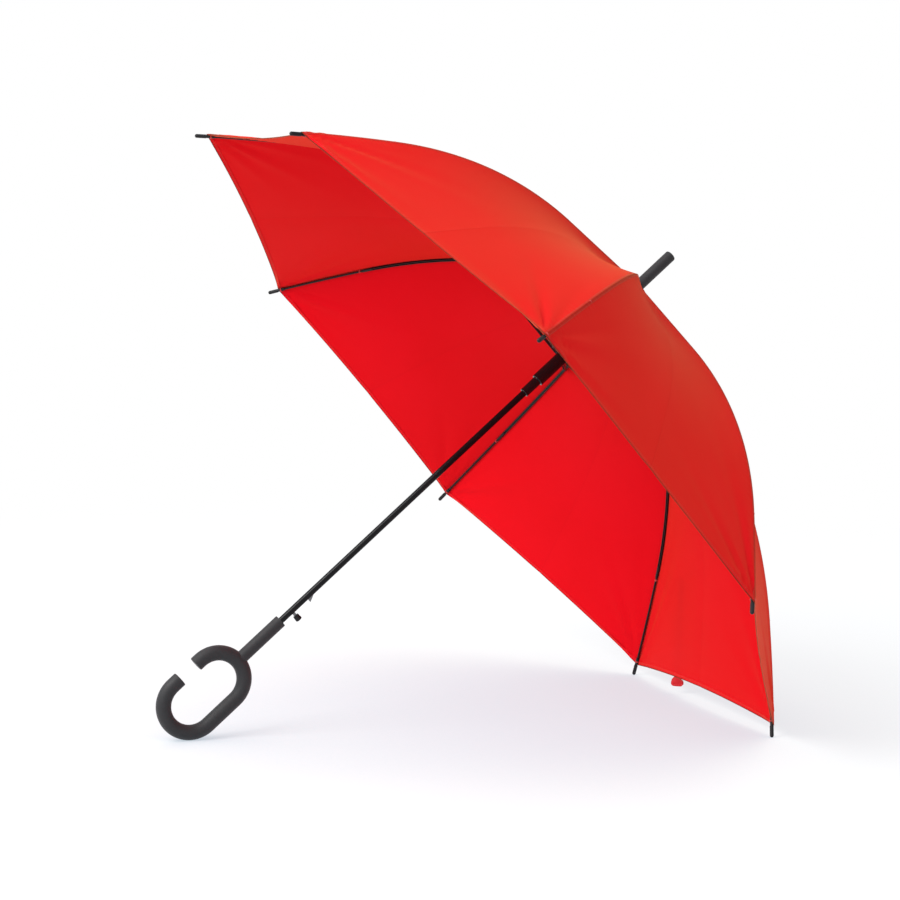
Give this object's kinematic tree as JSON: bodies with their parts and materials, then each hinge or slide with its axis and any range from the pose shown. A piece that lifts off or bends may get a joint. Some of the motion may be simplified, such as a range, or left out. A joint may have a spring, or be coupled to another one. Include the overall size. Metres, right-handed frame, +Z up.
{
  "type": "stick umbrella",
  "caption": "Open stick umbrella with a domed red fabric canopy, black sprung ribs, a sliding runner, a release button and a C-shaped handle",
  "frame": {"origin": "centre of the footprint on the floor that the open umbrella lies on", "axes": "+Z up, +X from the handle towards the canopy, +Y along the longest extent; the XZ plane holds the shaft and the handle's loop"},
  "size_m": [0.7316, 0.945, 0.7163],
  "materials": {
    "shaft_lacquer": "glossy black lacquer on a steel tube",
    "soft_touch_black": "matt soft-touch coating on moulded plastic",
    "runner_black": "glossy moulded plastic",
    "button_black": "moulded plastic with a fine grain",
    "steel": "plain spring steel and wire",
    "rib_black": "black paint on folded steel strip",
    "rod_black": "pultruded fibreglass rod, black",
    "tip_black": "moulded plastic",
    "canopy_red": "plain-woven polyester pongee with a slight sheen",
    "pad_red": "hook-and-loop tape"
  },
  "bodies": {
    "stick": {"shaft_tube": "shaft_lacquer", "ferrule": "soft_touch_black", "top_notch": "runner_black", "top_notch_wire": "steel", "top_notch_pin": "steel", "crown_patch": "canopy_red", "handle_grip": "soft_touch_black", "handle_pin": "steel", "spring_seat": "steel", "opening_spring": "steel", "return_spring": "steel"},
    "runner": {"runner": "runner_black", "runner_wire": "steel", "runner_key": "steel"},
    "release": {"release_button": "button_black", "catch_lever": "steel"},
    "rib_1": {"rib_inner_1": "rib_black", "rib_outer_1": "rod_black", "rib_tip_1": "tip_black", "canopy_gore_1": "canopy_red", "closing_strap": "canopy_red", "strap_pad": "pad_red"},
    "stretcher_1": {"stretcher_1": "rib_black"},
    "rib_2": {"rib_inner_2": "rib_black", "rib_outer_2": "rod_black", "rib_tip_2": "tip_black", "canopy_gore_2": "canopy_red"},
    "stretcher_2": {"stretcher_2": "rib_black"},
    "rib_3": {"rib_inner_3": "rib_black", "rib_outer_3": "rod_black", "rib_tip_3": "tip_black", "canopy_gore_3": "canopy_red"},
    "stretcher_3": {"stretcher_3": "rib_black"},
    "rib_4": {"rib_inner_4": "rib_black", "rib_outer_4": "rod_black", "rib_tip_4": "tip_black", "canopy_gore_4": "canopy_red"},
    "stretcher_4": {"stretcher_4": "rib_black"},
    "rib_5": {"rib_inner_5": "rib_black", "rib_outer_5": "rod_black", "rib_tip_5": "tip_black", "canopy_gore_5": "canopy_red"},
    "stretcher_5": {"stretcher_5": "rib_black"},
    "rib_6": {"rib_inner_6": "rib_black", "rib_outer_6": "rod_black", "rib_tip_6": "tip_black", "canopy_gore_6": "canopy_red"},
    "stretcher_6": {"stretcher_6": "rib_black"},
    "rib_7": {"rib_inner_7": "rib_black", "rib_outer_7": "rod_black", "rib_tip_7": "tip_black", "canopy_gore_7": "canopy_red"},
    "stretcher_7": {"stretcher_7": "rib_black"},
    "rib_8": {"rib_inner_8": "rib_black", "rib_outer_8": "rod_black", "rib_tip_8": "tip_black", "canopy_gore_8": "canopy_red"},
    "stretcher_8": {"stretcher_8": "rib_black"}
  },
  "joints": [
    {"name": "rib_fold_1", "type": "hinge", "parent": "stick", "child": "rib_1", "pos_m": [0.23795, 0.00237, 0.52001], "axis": [-0.2503, 0.9239, 0.2895], "range_deg": [0, 62.75], "stiffness_Nm_per_rad": 0.6, "springref_deg": -40.11, "deforming": ["canopy_gore_1", "closing_strap", "strap_pad", "opening_spring"]},
    {"name": "rib_fold_2", "type": "hinge", "parent": "stick", "child": "rib_2", "pos_m": [0.23576, 0.00573, 0.52255], "axis": [-0.6042, 0.3827, 0.699], "range_deg": [0, 62.75], "deforming": ["canopy_gore_2"]},
    {"name": "rib_fold_3", "type": "hinge", "parent": "stick", "child": "rib_3", "pos_m": [0.23266, 0.00573, 0.52614], "axis": [-0.6042, -0.3827, 0.699], "range_deg": [0, 62.75], "deforming": ["canopy_gore_3"]},
    {"name": "rib_fold_4", "type": "hinge", "parent": "stick", "child": "rib_4", "pos_m": [0.23046, 0.00237, 0.52868], "axis": [-0.2503, -0.9239, 0.2895], "range_deg": [0, 62.75], "deforming": ["canopy_gore_4"]},
    {"name": "rib_fold_5", "type": "hinge", "parent": "stick", "child": "rib_5", "pos_m": [0.23046, -0.00237, 0.52868], "axis": [0.2503, -0.9239, -0.2895], "range_deg": [0, 62.75], "deforming": ["canopy_gore_5"]},
    {"name": "rib_fold_6", "type": "hinge", "parent": "stick", "child": "rib_6", "pos_m": [0.23266, -0.00573, 0.52614], "axis": [0.6042, -0.3827, -0.699], "range_deg": [0, 62.75], "deforming": ["canopy_gore_6"]},
    {"name": "rib_fold_7", "type": "hinge", "parent": "stick", "child": "rib_7", "pos_m": [0.23576, -0.00573, 0.52255], "axis": [0.6042, 0.3827, -0.699], "range_deg": [0, 62.75], "deforming": ["canopy_gore_7"]},
    {"name": "rib_fold_8", "type": "hinge", "parent": "stick", "child": "rib_8", "pos_m": [0.23795, -0.00237, 0.52001], "axis": [0.2503, 0.9239, -0.2895], "range_deg": [0, 62.75], "deforming": ["canopy_gore_8"]},
    {"name": "stretcher_turn_1", "type": "hinge", "parent": "rib_1", "child": "stretcher_1", "pos_m": [0.3411, 0.09533, 0.31252], "axis": [-0.2503, 0.9239, 0.2895], "range_deg": [-125.49, 0]},
    {"name": "stretcher_turn_2", "type": "hinge", "parent": "rib_2", "child": "stretcher_2", "pos_m": [0.25293, 0.23016, 0.41452], "axis": [-0.6042, 0.3827, 0.699], "range_deg": [-125.49, 0]},
    {"name": "stretcher_turn_3", "type": "hinge", "parent": "rib_3", "child": "stretcher_3", "pos_m": [0.12825, 0.23016, 0.55877], "axis": [-0.6042, -0.3827, 0.699], "range_deg": [-125.49, 0]},
    {"name": "stretcher_turn_4", "type": "hinge", "parent": "rib_4", "child": "stretcher_4", "pos_m": [0.04008, 0.09533, 0.66077], "axis": [-0.2503, -0.9239, 0.2895], "range_deg": [-125.49, 0]},
    {"name": "stretcher_turn_5", "type": "hinge", "parent": "rib_5", "child": "stretcher_5", "pos_m": [0.04008, -0.09533, 0.66077], "axis": [0.2503, -0.9239, -0.2895], "range_deg": [-125.49, 0]},
    {"name": "stretcher_turn_6", "type": "hinge", "parent": "rib_6", "child": "stretcher_6", "pos_m": [0.12825, -0.23016, 0.55877], "axis": [0.6042, -0.3827, -0.699], "range_deg": [-125.49, 0]},
    {"name": "stretcher_turn_7", "type": "hinge", "parent": "rib_7", "child": "stretcher_7", "pos_m": [0.25293, -0.23016, 0.41452], "axis": [0.6042, 0.3827, -0.699], "range_deg": [-125.49, 0]},
    {"name": "stretcher_turn_8", "type": "hinge", "parent": "rib_8", "child": "stretcher_8", "pos_m": [0.3411, -0.09533, 0.31252], "axis": [0.2503, 0.9239, -0.2895], "range_deg": [-125.49, 0]},
    {"name": "runner_pivot", "type": "hinge", "parent": "stretcher_1", "child": "runner", "pos_m": [0.15072, 0.00237, 0.44461], "axis": [-0.2503, 0.9239, 0.2895], "range_deg": [0, 62.75]},
    {"name": "button_press", "type": "slide", "parent": "stick", "child": "release", "axis": [-0.6539, 0, 0.7565], "range_m": [0, 0.004], "stiffness_N_per_m": 400, "springref_m": -0.003, "deforming": ["return_spring"]}
  ],
  "couplings": [
    {"joint": "rib_fold_2", "follows": "rib_fold_1", "ratio": 1},
    {"joint": "rib_fold_3", "follows": "rib_fold_1", "ratio": 1},
    {"joint": "rib_fold_4", "follows": "rib_fold_1", "ratio": 1},
    {"joint": "rib_fold_5", "follows": "rib_fold_1", "ratio": 1},
    {"joint": "rib_fold_6", "follows": "rib_fold_1", "ratio": 1},
    {"joint": "rib_fold_7", "follows": "rib_fold_1", "ratio": 1},
    {"joint": "rib_fold_8", "follows": "rib_fold_1", "ratio": 1},
    {"joint": "stretcher_turn_1", "follows": "rib_fold_1", "ratio": -2},
    {"joint": "stretcher_turn_2", "follows": "rib_fold_1", "ratio": -2},
    {"joint": "stretcher_turn_3", "follows": "rib_fold_1", "ratio": -2},
    {"joint": "stretcher_turn_4", "follows": "rib_fold_1", "ratio": -2},
    {"joint": "stretcher_turn_5", "follows": "rib_fold_1", "ratio": -2},
    {"joint": "stretcher_turn_6", "follows": "rib_fold_1", "ratio": -2},
    {"joint": "stretcher_turn_7", "follows": "rib_fold_1", "ratio": -2},
    {"joint": "stretcher_turn_8", "follows": "rib_fold_1", "ratio": -2},
    {"joint": "runner_pivot", "follows": "rib_fold_1", "ratio": 1}
  ]
}
